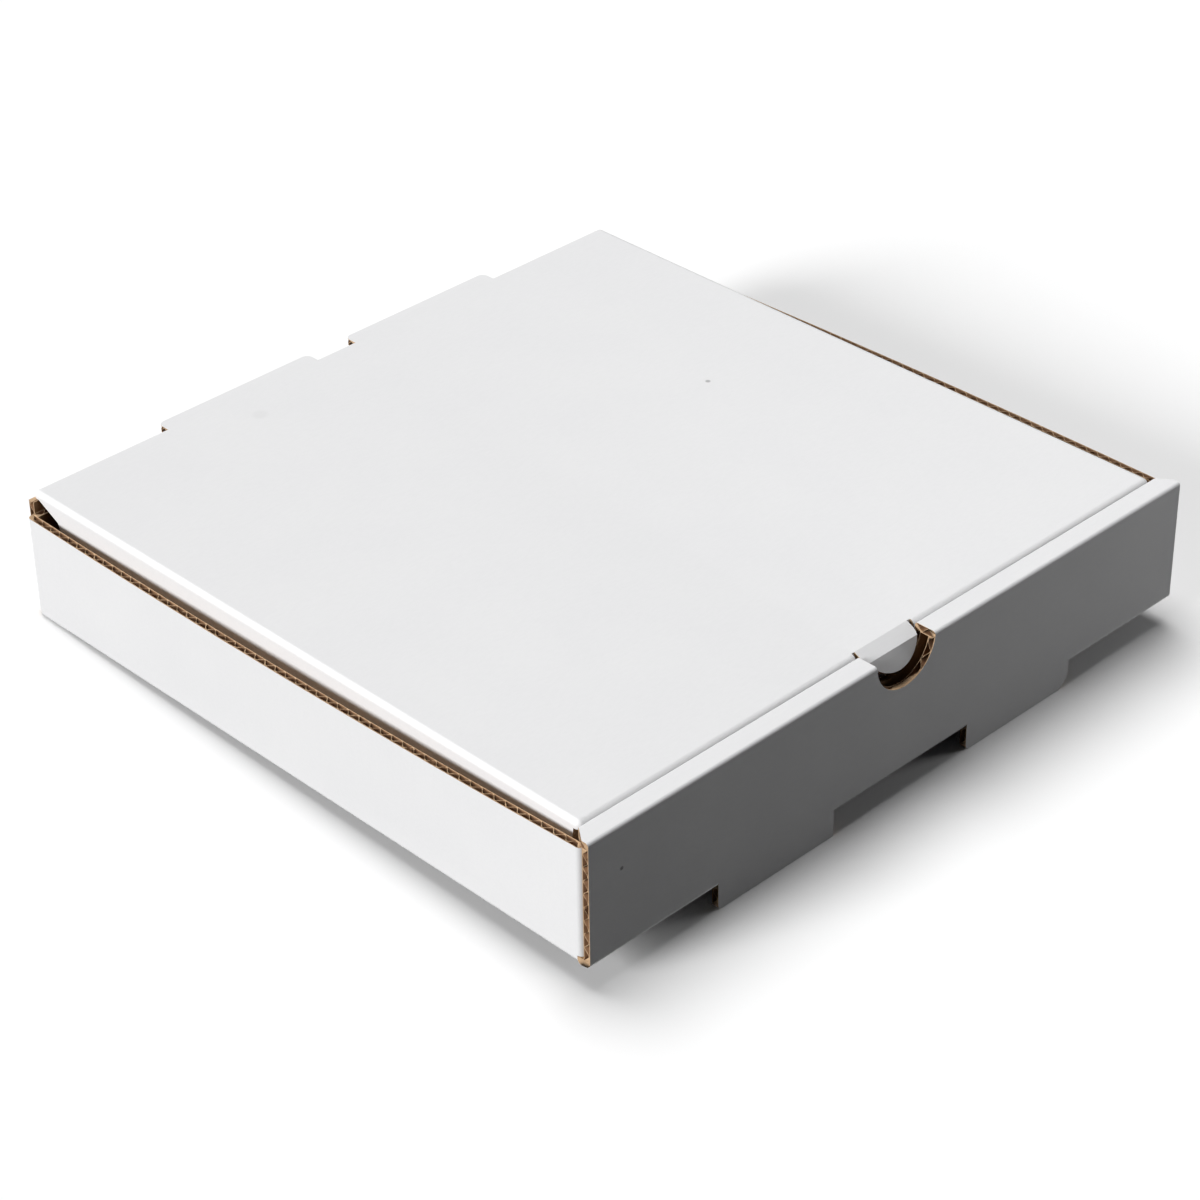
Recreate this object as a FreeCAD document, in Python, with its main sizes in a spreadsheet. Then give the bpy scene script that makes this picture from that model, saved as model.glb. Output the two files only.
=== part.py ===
"""Flat corrugated pizza box with a roll over front wall, shown closed.

The box is one die cut blank. The tray is its floor, walls, corner flaps and the front wall that rolls
over and locks through two slots. The lid is the panel behind the rear crease, with its dust flaps, tuck
flap, thumb tab and rear tongues. X runs across the front, Y from the front to the rear crease, Z up.
"""

import FreeCAD, Part
import math
import os

import Sketcher

# Driving sizes in millimetres, and two angles in degrees
SIZES = {
    "board": (3.0, "thickness of the corrugated board"),
    "width": (315.0, "outside, across the side walls"),
    "length": (308.0, "outside, front wall to rear wall"),
    "height": (52.5, "underside of the floor to the top of the lid"),
    "step_front": (3.5, "top of the lid down to the cut edge of a side wall, at the front"),
    "step_rear": (8.0, "top of the lid down to the cut edge of a side wall, at the rear"),
    "side_bow": (2.5, "side wall's top bulging outwards halfway along"),
    "fold_radius": (2.2, "outside of a crease"),
    "rollover_radius": (1.3, "outside of the two creases on top of the front wall"),
    "layer_gap": (0.3, "air between two layers that lie against each other"),
    "front_inset": (0.6, "side wall face to the cut end of the front wall"),
    "inner_inset": (5.5, "side wall face to the cut end of the inner front panel"),
    "rear_inset": (4.0, "side wall face to the cut end of the rear wall"),
    "corner_flap": (56.0, "reach of a corner flap from the side wall face"),
    "foot_place": (65.7, "middle of the box to the middle of a foot"),
    "foot_width": (59.0, "along the front wall"),
    "foot_drop": (10.0, "foot below the underside of the floor"),
    "foot_corner": (2.0, "rounding of the left corners of the feet"),
    "foot_end": (7.0, "large rounding of the right foot's outer corner"),
    "slot_play": (0.5, "slot beyond the locking tab, and tab short of the slot's ends"),
    "lock_reach": (2.0, "locking tab below the underside of the floor"),
    "notch_radius": (15.5, "thumb notch in the front wall"),
    "thumb_radius": (14.5, "round end of the lid's thumb tab"),
    "thumb_width": (28.0, "thumb tab where it leaves the lid"),
    "thumb_first": (6.5, "flat length of the tab's first facet"),
    "thumb_slope": (25.0, "angle of the first facet below the lid"),
    "thumb_dive": (62.0, "angle of the second facet below the lid"),
    "thumb_kerf": (1.0, "width of the cut around the tab in the tuck flap"),
    "tongue_place": (48.5, "middle of the box to the middle of a rear tongue"),
    "tongue_width": (77.0, "along the rear wall"),
    "tongue_reach": (5.0, "tongue behind the rear wall"),
    "tongue_corner": (3.0, "rounding of a tongue's corners"),
    "vent_play": (0.9, "rear wall notch beyond the sweep of its tongue"),
    "lid_inset": (6.2, "side wall face to the side crease of the lid"),
    "lid_gap": (0.5, "roll over front wall to the front crease of the lid"),
    "dust_drop": (36.0, "height of a dust flap"),
    "dust_start": (3.5, "rear wall face to the rear end of a dust flap at its crease"),
    "dust_knee_run": (11.0, "first slanted stretch of the dust flap's rear end, along Y"),
    "dust_knee_drop": (8.5, "first slanted stretch of the dust flap's rear end, along Z"),
    "dust_rear_run": (9.0, "second slanted stretch of that end, along Y"),
    "dust_front_run": (5.0, "slant of the dust flap's front end, along Y"),
    "tuck_drop": (35.0, "height of the tuck flap"),
    "tuck_lean": (2.5, "tuck flap's free edge behind its crease"),
    "tuck_gap": (1.0, "dust flap to the end of the tuck flap"),
    "tuck_corner": (14.0, "rounding of the tuck flap's corners"),
}

# Places worked out from the driving sizes
FRONT = "-sizes.length / 2"
REAR = "sizes.length / 2"
FRONT_DEPTH = "(3 * sizes.board + 2 * sizes.layer_gap)"
FRONT_BACK = f"({FRONT} + {FRONT_DEPTH})"
FLAP_FRONT = f"({FRONT} + sizes.board + sizes.layer_gap)"
FLAP_REAR = f"({REAR} - sizes.board - sizes.layer_gap)"
ABOVE_FLOOR = "(sizes.board + sizes.layer_gap)"
SIDE_FRONT = "(sizes.height - sizes.step_front)"
SIDE_REAR = "(sizes.height - sizes.step_rear)"
UNDER_LID = "(sizes.height - sizes.board)"
REAR_TOP = f"({UNDER_LID} - sizes.layer_gap)"
SLOT_BACK = f"({FRONT_BACK} + sizes.slot_play)"
FOOT_HALF = "sizes.foot_width / 2"
LOCK_HALF = "(sizes.foot_width / 2 - sizes.slot_play)"
VENT_DEPTH = "(sqrt(sizes.tongue_reach ^ 2 + sizes.board ^ 2) + sizes.vent_play)"
VENT_HALF = "(sizes.tongue_width / 2 + sizes.vent_play)"
LID_HALF = "(sizes.width / 2 - sizes.lid_inset)"
LID_FRONT = f"({FRONT_BACK} + sizes.lid_gap)"
TUCK_HALF = f"({LID_HALF} - sizes.board - sizes.tuck_gap)"

# Two points nearer than this are the same point
SAME_PLACE = 0.01

doc = FreeCAD.newDocument("pizza_box")
sheet = doc.addObject("Spreadsheet::Sheet", "sizes")


def fill_sheet():
    """One row for each driving size: its name, number and note."""
    for row, (name, (size, note)) in enumerate(SIZES.items(), start=1):
        sheet.set(f"A{row}", name)
        sheet.set(f"B{row}", str(size))
        sheet.setAlias(f"B{row}", name)
        sheet.set(f"C{row}", note)
    doc.recompute()


def number(expression):
    """The value that an expression on the sheet has now."""
    found = sheet.evalExpression(expression)
    return float(getattr(found, "Value", found))


def new_body(label):
    """A body whose own origin is the middle of the floor's underside."""
    body = doc.addObject("PartDesign::Body", label)
    body.Label = label
    body.setExpression("Placement.Base.y", "-sizes.tongue_reach / 2")
    body.setExpression("Placement.Base.z", "sizes.foot_drop")
    return body


def sketch_on(body, name, plane, level):
    """An empty sketch parallel to one of the body's own planes, at a level along its normal."""
    sketch = body.newObject("Sketcher::SketchObject", name)
    role = f"{plane}_Plane"
    sketch.AttachmentSupport = [next(o for o in body.Origin.OriginFeatures if o.Role == role)]
    sketch.MapMode = "FlatFace"
    sketch.setExpression("AttachmentOffset.Base.z", level)
    return sketch


def bind(sketch, constraint, name, expression):
    """Adds a named dimension and ties it to an expression."""
    index = sketch.addConstraint(constraint)
    sketch.renameConstraint(index, name)
    sketch.setExpression(f"Constraints.{name}", expression)


def arc_about(centre, first, through, last):
    """Arc of a circle through three points, drawn anticlockwise whichever end comes first."""
    full_turn = 2 * math.pi
    first_angle, through_angle, last_angle = (
        math.atan2(point.y - centre.y, point.x - centre.x) for point in (first, through, last)
    )
    start = first_angle % full_turn
    sweep = (last_angle - first_angle) % full_turn
    if (through_angle - first_angle) % full_turn > sweep:
        start = last_angle % full_turn
        sweep = full_turn - sweep
    circle = Part.Circle(centre, FreeCAD.Vector(0, 0, 1), centre.distanceToPoint(first))
    return Part.ArcOfCircle(circle, start, start + sweep)


def draw_outline(sketch, corners, arc=None):
    """A closed outline, each corner a pair of expressions.

    Its sides are straight, apart from the first where arc gives a point that it curves through. That
    curve is part of a circle about the sketch's origin.
    """
    places = [FreeCAD.Vector(number(across), number(up), 0) for across, up in corners]
    count = len(places)
    sides = [Part.LineSegment(places[i], places[(i + 1) % count]) for i in range(count)]
    if arc:
        through = FreeCAD.Vector(number(arc[0]), number(arc[1]), 0)
        sides[0] = arc_about(FreeCAD.Vector(), places[0], through, places[1])
    sketch.addGeometry(sides, False)
    ends = [(2, 1)] * count
    if arc and sketch.Geometry[0].StartPoint.distanceToPoint(places[0]) > SAME_PLACE:
        ends = [(1, 1)] + [(2, 1)] * (count - 2) + [(2, 2)]
    for i in range(count):
        sketch.addConstraint(Sketcher.Constraint("Coincident", i, ends[i][0], (i + 1) % count, ends[i][1]))
    if arc:
        sketch.addConstraint(Sketcher.Constraint("Coincident", 0, 3, -1, 1))
    for i, (across, up) in enumerate(corners):
        start = 2 if i == 0 and ends[-1][1] == 2 else 1
        place_across = Sketcher.Constraint("DistanceX", -1, 1, i, start, places[i].x)
        bind(sketch, place_across, f"across_{i}", across)
        if not (arc and i == 1):
            place_up = Sketcher.Constraint("DistanceY", -1, 1, i, start, places[i].y)
            bind(sketch, place_up, f"up_{i}", up)


def draw_circle(sketch, across, up, radius):
    """A full circle, its centre and radius given as expressions."""
    centre = FreeCAD.Vector(number(across), number(up), 0)
    sketch.addGeometry(Part.Circle(centre, FreeCAD.Vector(0, 0, 1), number(radius)), False)
    bind(sketch, Sketcher.Constraint("DistanceX", -1, 1, 0, 3, centre.x), "across", across)
    bind(sketch, Sketcher.Constraint("DistanceY", -1, 1, 0, 3, centre.y), "up", up)
    bind(sketch, Sketcher.Constraint("Radius", 0, number(radius)), "radius", radius)


def span(plane, low, high):
    """Level and length of a pad that fills low to high along its plane's axis. XZ looks along -Y."""
    level = f"-({high})" if plane == "XZ" else low
    return level, f"({high}) - ({low})"


def pad(body, name, plane, low, high, corners):
    """Adds the outline as board from low to high."""
    level, thickness = span(plane, low, high)
    sketch = sketch_on(body, f"{name}_outline", plane, level)
    draw_outline(sketch, corners)
    feature = body.newObject("PartDesign::Pad", name)
    feature.Profile = sketch
    feature.setExpression("Length", thickness)
    doc.recompute()
    return feature


def pocket(body, name, plane, low, high, corners=None, circle=None):
    """Cuts the outline or circle away from low to high, and checks that board was removed."""
    before = body.Shape.Volume
    level, thickness = span(plane, low, high)
    sketch = sketch_on(body, f"{name}_outline", plane, level)
    if circle:
        draw_circle(sketch, *circle)
    else:
        draw_outline(sketch, corners)
    feature = body.newObject("PartDesign::Pocket", name)
    feature.Profile = sketch
    feature.Reversed = True
    feature.setExpression("Length", thickness)
    doc.recompute()
    if not body.Shape.Volume < before:
        raise RuntimeError(f"{name} cuts nothing")
    return feature


def rectangle(low, high, bottom, top):
    """Corners of an upright rectangle."""
    return [(low, bottom), (high, bottom), (high, top), (low, top)]


def edges_at(feature, test):
    """Names of the straight edges of a feature whose two ends both pass the test."""
    found = []
    for i, edge in enumerate(feature.Shape.Edges, start=1):
        ends = [vertex.Point for vertex in edge.Vertexes]
        if len(ends) == 2 and all(test(end) for end in ends):
            found.append(f"Edge{i}")
    return found


def fold(body, name, feature, radius, x=None, y=None, z=None):
    """Rounds the edges that lie at the given places, each an expression or nothing."""
    wanted = [(axis, number(place)) for axis, place in (("x", x), ("y", y), ("z", z)) if place]

    def in_place(point):
        return all(abs(getattr(point, axis) - place) < SAME_PLACE for axis, place in wanted)

    names = edges_at(feature, in_place)
    if not names:
        raise RuntimeError(f"{name} finds no edge")
    rounding = body.newObject("PartDesign::Fillet", name)
    rounding.Base = (feature, names)
    rounding.setExpression("Radius", radius)
    doc.recompute()
    return rounding


def mirrored(corners, side):
    """The same corners on the left, or mirrored across the middle of the box."""
    return [(f"{side} * ({across})", up) for across, up in corners]


def build_floor(body):
    """The floor, its corners cut back to where the four wall creases start."""
    front_x = "(sizes.width / 2 - sizes.front_inset)"
    rear_x = "(sizes.width / 2 - sizes.rear_inset)"
    side_x = "sizes.width / 2"
    front_y = f"({FLAP_FRONT} + sizes.fold_radius)"
    rear_y = f"({FLAP_REAR} - sizes.fold_radius)"
    corners = [
        (f"-{front_x}", FRONT),
        (front_x, FRONT),
        (side_x, front_y),
        (side_x, rear_y),
        (rear_x, REAR),
        (f"-{rear_x}", REAR),
        (f"-{side_x}", rear_y),
        (f"-{side_x}", front_y),
    ]
    pad(body, "floor", "XY", "0", "sizes.board", corners)


def build_front_wall(body):
    """Outer panel, top strip and inner panel of the roll over front, with the thumb notch."""
    section = [
        (FRONT, "0"),
        (f"{FRONT} + sizes.board", "0"),
        (f"{FRONT} + sizes.board", UNDER_LID),
        (f"{FRONT_BACK} - sizes.board", UNDER_LID),
        (f"{FRONT_BACK} - sizes.board", ABOVE_FLOOR),
        (FRONT_BACK, ABOVE_FLOOR),
        (FRONT_BACK, "sizes.height"),
        (FRONT, "sizes.height"),
    ]
    half = "(sizes.width / 2 - sizes.front_inset)"
    wall = pad(body, "front_wall", "YZ", f"-{half}", half, section)
    wall = fold(body, "front_crease", wall, "sizes.fold_radius", y=FRONT, z="0")
    wall = fold(body, "outer_top_crease", wall, "sizes.rollover_radius", y=FRONT, z="sizes.height")
    fold(body, "inner_top_crease", wall, "sizes.rollover_radius", y=FRONT_BACK, z="sizes.height")
    for side, word in ((-1, "left"), (1, "right")):
        end_cut = [
            (half, f"{FRONT} + sizes.board"),
            ("(sizes.width / 2 - sizes.inner_inset)", FRONT_BACK),
            ("sizes.width / 2", FRONT_BACK),
            ("sizes.width / 2", f"{FRONT} + sizes.board"),
        ]
        outline = mirrored(end_cut, side)
        pocket(body, f"{word}_end_cut", "XY", "sizes.board", "sizes.height", outline)
    notch = ("0", "sizes.height", "sizes.notch_radius")
    pocket(body, "thumb_notch", "XZ", FRONT, FRONT_BACK, circle=notch)


def build_rear_wall(body):
    """The rear wall up to the lid's crease, with the two notches that the lid's tongues leave."""
    half = "(sizes.width / 2 - sizes.rear_inset)"
    panel = rectangle(f"-{half}", half, "0", REAR_TOP)
    wall = pad(body, "rear_wall", "XZ", f"{REAR} - sizes.board", REAR, panel)
    fold(body, "rear_crease", wall, "sizes.fold_radius", y=REAR, z="0")
    for side, word in ((-1, "left"), (1, "right")):
        centre = f"{side} * sizes.tongue_place"
        vent = rectangle(
            f"{centre} - {VENT_HALF}",
            f"{centre} + {VENT_HALF}",
            f"sizes.height - {VENT_DEPTH}",
            "sizes.height",
        )
        pocket(body, f"{word}_vent", "XZ", f"{REAR} - sizes.board", REAR, vent)


def draw_bowed(sketch, side, low_y, high_y, bow=None):
    """A strip of board along Y at one side, straight or with both long sides bowed outwards."""
    outer_x = number(f"{side} * sizes.width / 2")
    inner_x = number(f"{side} * (sizes.width / 2 - sizes.board)")
    low, high = number(low_y), number(high_y)
    middle = (low + high) / 2
    corners = [
        FreeCAD.Vector(outer_x, low, 0),
        FreeCAD.Vector(outer_x, high, 0),
        FreeCAD.Vector(inner_x, high, 0),
        FreeCAD.Vector(inner_x, low, 0),
    ]
    if bow:
        radius = f"(({high_y}) - ({low_y})) ^ 2 / (8 * {bow}) + {bow} / 2"
    for i, corner in enumerate(corners):
        following = corners[(i + 1) % len(corners)]
        if bow and i % 2 == 0:
            crown = FreeCAD.Vector(corner.x + side * number(bow), middle, 0)
            centre = FreeCAD.Vector(crown.x - side * number(radius), middle, 0)
            sketch.addGeometry(arc_about(centre, corner, crown, following), False)
        else:
            sketch.addGeometry(Part.LineSegment(corner, following), False)
    starts = []
    for i, corner in enumerate(corners):
        first_point = sketch.getPoint(i, 1)
        starts.append(1 if first_point.distanceToPoint(corner) < SAME_PLACE else 2)
    for i, corner in enumerate(corners):
        after = (i + 1) % len(corners)
        sketch.addConstraint(Sketcher.Constraint("Coincident", i, 3 - starts[i], after, starts[after]))
        across = "sizes.width / 2" if i < 2 else "(sizes.width / 2 - sizes.board)"
        up = low_y if i in (0, 3) else high_y
        place_across = Sketcher.Constraint("DistanceX", -1, 1, i, starts[i], corner.x)
        bind(sketch, place_across, f"across_{i}", f"{side} * {across}")
        place_up = Sketcher.Constraint("DistanceY", -1, 1, i, starts[i], corner.y)
        bind(sketch, place_up, f"up_{i}", up)
    if bow:
        for i in (0, 2):
            bind(sketch, Sketcher.Constraint("Radius", i, number(radius)), f"radius_{i}", radius)


def build_side_walls(body):
    """Each side wall with its two corner flaps, one inside the front wall and one inside the rear.

    The wall stands straight at the floor and at both ends, and its cut edge bows outwards between them.
    """
    low_front = f"({FLAP_FRONT} + sizes.fold_radius)"
    low_rear = f"({FLAP_REAR} - sizes.fold_radius)"
    wall_front = f"({FLAP_FRONT} + sizes.board)"
    wall_rear = f"({FLAP_REAR} - sizes.board)"
    face = "sizes.width / 2"
    inside = f"({face} - sizes.board)"
    reach = f"({face} - sizes.corner_flap)"
    for side, word in ((-1, "left"), (1, "right")):
        outer_x = f"{side} * {face}"
        lower = mirrored(rectangle(inside, face, low_front, low_rear), side)
        wall = pad(body, f"{word}_wall_foot", "XY", "0", ABOVE_FLOOR, lower)
        fold(body, f"{word}_crease", wall, "sizes.fold_radius", x=outer_x, z="0")
        ends = (
            ("front", FLAP_FRONT, wall_front, SIDE_FRONT),
            ("rear", FLAP_REAR, wall_rear, SIDE_REAR),
        )
        for end, bend_y, root_y, top in ends:
            outline = mirrored(rectangle(reach, face, bend_y, root_y), side)
            flap = pad(body, f"{word}_{end}_flap", "XY", ABOVE_FLOOR, top, outline)
            fold(body, f"{word}_{end}_bend", flap, "sizes.fold_radius", x=outer_x, y=bend_y)
        straight = sketch_on(body, f"{word}_wall_straight", "XY", ABOVE_FLOOR)
        draw_bowed(straight, side, wall_front, wall_rear)
        bowed = sketch_on(body, f"{word}_wall_bowed", "XY", SIDE_FRONT)
        draw_bowed(bowed, side, wall_front, wall_rear, "sizes.side_bow")
        wall = body.newObject("PartDesign::AdditiveLoft", f"{word}_wall")
        wall.Profile = straight
        wall.Sections = [bowed]
        wall.Ruled = True
        doc.recompute()
        slant = [
            (wall_front, SIDE_FRONT),
            (wall_rear, SIDE_REAR),
            (wall_rear, "sizes.height"),
            (wall_front, "sizes.height"),
        ]
        crown = f"({face} + sizes.side_bow)"
        low, high = (f"-{crown}", f"-{inside}") if side < 0 else (inside, crown)
        pocket(body, f"{word}_wall_slant", "YZ", low, high, slant)


def build_feet(body):
    """Slots in the floor, the feet left standing in the front wall's plane, and the locking tabs."""
    for side, word in ((-1, "left"), (1, "right")):
        centre = f"{side} * sizes.foot_place"
        ends = (f"{centre} - {FOOT_HALF}", f"{centre} + {FOOT_HALF}")
        slot = rectangle(*ends, f"{FRONT} + sizes.board", SLOT_BACK)
        pocket(body, f"{word}_slot", "XY", "0", "sizes.board", slot)
        foot_outline = rectangle(*ends, "-sizes.foot_drop", "2 * sizes.fold_radius")
        foot = pad(body, f"{word}_foot", "XZ", FRONT, f"{FRONT} + sizes.board", foot_outline)
        tip = "-sizes.foot_drop"
        foot = fold(body, f"{word}_foot_corner", foot, "sizes.foot_corner", x=ends[0], z=tip)
        if side > 0:
            fold(body, f"{word}_foot_end", foot, "sizes.foot_end", x=ends[1], z=tip)
        lock_outline = rectangle(
            f"{centre} - {LOCK_HALF}",
            f"{centre} + {LOCK_HALF}",
            "-sizes.lock_reach",
            f"{ABOVE_FLOOR} + sizes.board",
        )
        lock = pad(body, f"{word}_lock", "XZ", f"{FRONT_BACK} - sizes.board", FRONT_BACK, lock_outline)
        for end, place in (("near", "-"), ("far", "+")):
            corner_x = f"{centre} {place} {LOCK_HALF}"
            name = f"{word}_lock_{end}"
            lock = fold(body, name, lock, "sizes.foot_corner", x=corner_x, z="-sizes.lock_reach")


def build_lid_panel(body):
    """The top panel with its rear crease rounded where no tongue continues it."""
    panel = rectangle(f"-{LID_HALF}", LID_HALF, LID_FRONT, REAR)
    top = pad(body, "lid_panel", "XY", UNDER_LID, "sizes.height", panel)
    fold(body, "rear_edge", top, "sizes.fold_radius", y=REAR, z="sizes.height")


def build_dust_flaps(body):
    """The two side flaps that hang inside the side walls, slanted at both ends."""
    crease_rear = f"({REAR} - sizes.dust_start)"
    knee = f"({crease_rear} - sizes.dust_knee_run)"
    crease_front = f"({LID_FRONT} + sizes.fold_radius)"
    bottom = "sizes.height - sizes.dust_drop"
    outline = [
        (crease_front, "sizes.height"),
        (f"{crease_front} + sizes.dust_front_run", bottom),
        (f"{knee} - sizes.dust_rear_run", bottom),
        (knee, "sizes.height - sizes.dust_knee_drop"),
        (crease_rear, f"{UNDER_LID}"),
        (crease_rear, "sizes.height"),
    ]
    for side, word in ((-1, "left"), (1, "right")):
        faces = (LID_HALF, f"({LID_HALF} - sizes.board)")
        low, high = (f"-{faces[0]}", f"-{faces[1]}") if side < 0 else (faces[1], faces[0])
        flap = pad(body, f"{word}_dust_flap", "YZ", low, high, outline)
        crease_x = f"{side} * {LID_HALF}"
        fold(body, f"{word}_lid_crease", flap, "sizes.fold_radius", x=crease_x, z="sizes.height")


def build_tuck_flap(body):
    """The front flap behind the roll over wall, with the opening that the thumb tab was cut from."""
    free_edge = "(sizes.height - sizes.tuck_drop)"
    section = [
        (LID_FRONT, "sizes.height"),
        (f"{LID_FRONT} + sizes.tuck_lean", free_edge),
        (f"{LID_FRONT} + sizes.tuck_lean + sizes.board", free_edge),
        (f"{LID_FRONT} + sizes.board", UNDER_LID),
        (f"{LID_FRONT} + sizes.board", "sizes.height"),
    ]
    flap = pad(body, "tuck_flap", "YZ", f"-{TUCK_HALF}", TUCK_HALF, section)
    for side, word in ((-1, "left"), (1, "right")):
        name = f"{word}_tuck_corner"
        flap = fold(body, name, flap, "sizes.tuck_corner", x=f"{side} * {TUCK_HALF}", z=free_edge)
    fold(body, "front_lid_crease", flap, "sizes.fold_radius", y=LID_FRONT, z="sizes.height")
    cut_radius = "(sizes.thumb_radius + sizes.thumb_kerf)"
    cut_back = f"{LID_FRONT} + sizes.tuck_lean + sizes.board"
    cut = ("0", "sizes.height", cut_radius)
    pocket(body, "thumb_cut", "XZ", LID_FRONT, cut_back, circle=cut)
    filler = rectangle(f"-{cut_radius}", cut_radius, UNDER_LID, "sizes.height")
    pad(body, "cut_root", "XZ", f"{LID_FRONT} + sizes.fold_radius", f"{cut_back}", filler)


def cut_facet(body, name, place, angle, outline, arc):
    """Trims a facet of the thumb tab, square to the facet, to a round outline.

    The sketch lies on the facet with its origin at place, and turns about X by angle. The outline is
    given as in draw_outline, and its first side is the round one, through the point arc.
    """
    before = body.Shape.Volume
    level = "-(sizes.board + sizes.thumb_kerf)"
    sketch = sketch_on(body, f"{name}_outline", "XY", "0")
    tilt = FreeCAD.Rotation(FreeCAD.Vector(1, 0, 0), number(angle))
    sketch.AttachmentOffset = FreeCAD.Placement(FreeCAD.Vector(), tilt)
    sketch.setExpression("AttachmentOffset.Rotation.Angle", angle)
    sketch.setExpression("AttachmentOffset.Base.y", f"{place[0]} - {level} * sin({angle})")
    sketch.setExpression("AttachmentOffset.Base.z", f"{place[1]} + {level} * cos({angle})")
    draw_outline(sketch, outline, arc)
    feature = body.newObject("PartDesign::Pocket", name)
    feature.Profile = sketch
    feature.Reversed = True
    feature.setExpression("Length", "sizes.board + 2 * sizes.thumb_kerf")
    doc.recompute()
    if not body.Shape.Volume < before:
        raise RuntimeError(f"{name} cuts nothing")


def build_thumb_tab(body):
    """A half round tab that leaves the lid's front edge and bends down in two facets."""
    root = f"({LID_FRONT} + sizes.fold_radius)"
    slope = "(sizes.thumb_slope * 1 deg)"
    dive = "(sizes.thumb_dive * 1 deg)"
    second = "(sizes.thumb_radius - sizes.thumb_first)"
    knee_y = f"({root} - sizes.thumb_first * cos({slope}))"
    knee_z = f"(sizes.height - sizes.thumb_first * sin({slope}))"
    tip_y = f"({knee_y} - {second} * cos({dive}))"
    tip_z = f"({knee_z} - {second} * sin({dive}))"
    miter = f"(sizes.board / cos(({dive} - {slope}) / 2))"
    mean = f"(({dive} + {slope}) / 2)"
    section = [
        (root, "sizes.height"),
        (knee_y, knee_z),
        (tip_y, tip_z),
        (f"{tip_y} + sizes.board * sin({dive})", f"{tip_z} - sizes.board * cos({dive})"),
        (f"{knee_y} + {miter} * sin({mean})", f"{knee_z} - {miter} * cos({mean})"),
        (f"{root} + sizes.board * tan({slope} / 2)", UNDER_LID),
        (f"{root} + sizes.board", UNDER_LID),
        (f"{root} + sizes.board", "sizes.height"),
    ]
    pad(body, "thumb_tab", "YZ", "-sizes.thumb_width / 2", "sizes.thumb_width / 2", section)
    chord = "sqrt(sizes.thumb_radius ^ 2 - sizes.thumb_first ^ 2)"
    beside = "(sizes.thumb_radius + sizes.thumb_kerf)"
    knee = "-sizes.thumb_first"
    tip_outline = [
        (f"-{chord}", knee),
        (chord, knee),
        (beside, knee),
        (beside, f"-{beside}"),
        (f"-{beside}", f"-{beside}"),
        (f"-{beside}", knee),
    ]
    tip_centre = (
        f"{knee_y} + sizes.thumb_first * cos({dive})",
        f"{knee_z} + sizes.thumb_first * sin({dive})",
    )
    cut_facet(body, "tip_round", tip_centre, dive, tip_outline, ("0", "-sizes.thumb_radius"))
    start_v = "-sizes.thumb_first / 4"
    start = (f"sqrt(sizes.thumb_radius ^ 2 - ({start_v}) ^ 2)", start_v)
    middle_v = "-sizes.thumb_first / 2"
    middle = (f"sqrt(sizes.thumb_radius ^ 2 - ({middle_v}) ^ 2)", middle_v)
    for side, word in ((-1, "left"), (1, "right")):
        root_outline = [start, (chord, knee), (beside, knee), (beside, start_v)]
        arc = (f"{side} * {middle[0]}", middle[1])
        centre = (root, "sizes.height")
        cut_facet(body, f"{word}_root_round", centre, slope, mirrored(root_outline, side), arc)


def build_tongues(body):
    """The rear tongues that stay in the lid's plane and leave the vents in the rear wall."""
    for side, word in ((-1, "left"), (1, "right")):
        centre = f"{side} * sizes.tongue_place"
        ends = (f"{centre} - sizes.tongue_width / 2", f"{centre} + sizes.tongue_width / 2")
        tip = f"{REAR} + sizes.tongue_reach"
        outline = rectangle(*ends, f"{REAR} - sizes.fold_radius", tip)
        tongue = pad(body, f"{word}_tongue", "XY", UNDER_LID, "sizes.height", outline)
        for end, place in enumerate(ends):
            name = f"{word}_tongue_corner_{end}"
            tongue = fold(body, name, tongue, "sizes.tongue_corner", x=place, y=tip)


def build_tray():
    """The lower half of the blank, from the rear wall to the inner front panel."""
    body = new_body("tray")
    build_floor(body)
    build_front_wall(body)
    build_rear_wall(body)
    build_feet(body)
    build_side_walls(body)
    return body


def build_lid():
    """The upper half of the blank, from the rear crease to the tuck flap."""
    body = new_body("lid")
    build_lid_panel(body)
    build_dust_flaps(body)
    build_tuck_flap(body)
    build_thumb_tab(body)
    build_tongues(body)
    return body


def check_document(bodies):
    """Stops if any object failed or a body is not one valid solid."""
    doc.recompute()
    for item in doc.Objects:
        if {"Invalid", "Error"} & set(item.State):
            raise RuntimeError(f"{item.Name} failed")
    for body in bodies:
        shape = body.Shape
        if shape.isNull() or not shape.isValid() or len(shape.Solids) != 1:
            raise RuntimeError(f"{body.Label} is not one valid solid")


def main():
    """Fills the sheet, builds the two bodies and writes them."""
    fill_sheet()
    bodies = [build_tray(), build_lid()]
    check_document(bodies)
    os.makedirs("parts", exist_ok=True)
    for body in bodies:
        body.Shape.exportStep(f"parts/{body.Label}.step")
        print(f"{body.Label}: {body.Shape.Volume:.0f} cubic millimetres")


main()
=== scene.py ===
"""Looks of a closed, white faced pizza box folded from one blank of corrugated board.

The tray and the lid start as merged copies of the two solids. Their raw edges are then opened with flutes, and
every face gets the paper that it has on the real blank: white liner outside, brown liner inside, cut board
at the edges and fluting paper in the flutes, its brown darkened to paint the shade in the flute hollows.
Narrow strips of liner join tray and lid across the crease.
Metres throughout. X runs across the front, Y from the front to the rear crease, Z up.
"""

import logging
import math
import random
from contextlib import contextmanager
from dataclasses import dataclass, field
from enum import Enum
from typing import Callable, Iterator

import bpy
from bpy.types import Material, MeshPolygon, Node, NodeSocket, NodeTree, Object
from mathutils import Matrix, Vector


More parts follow.
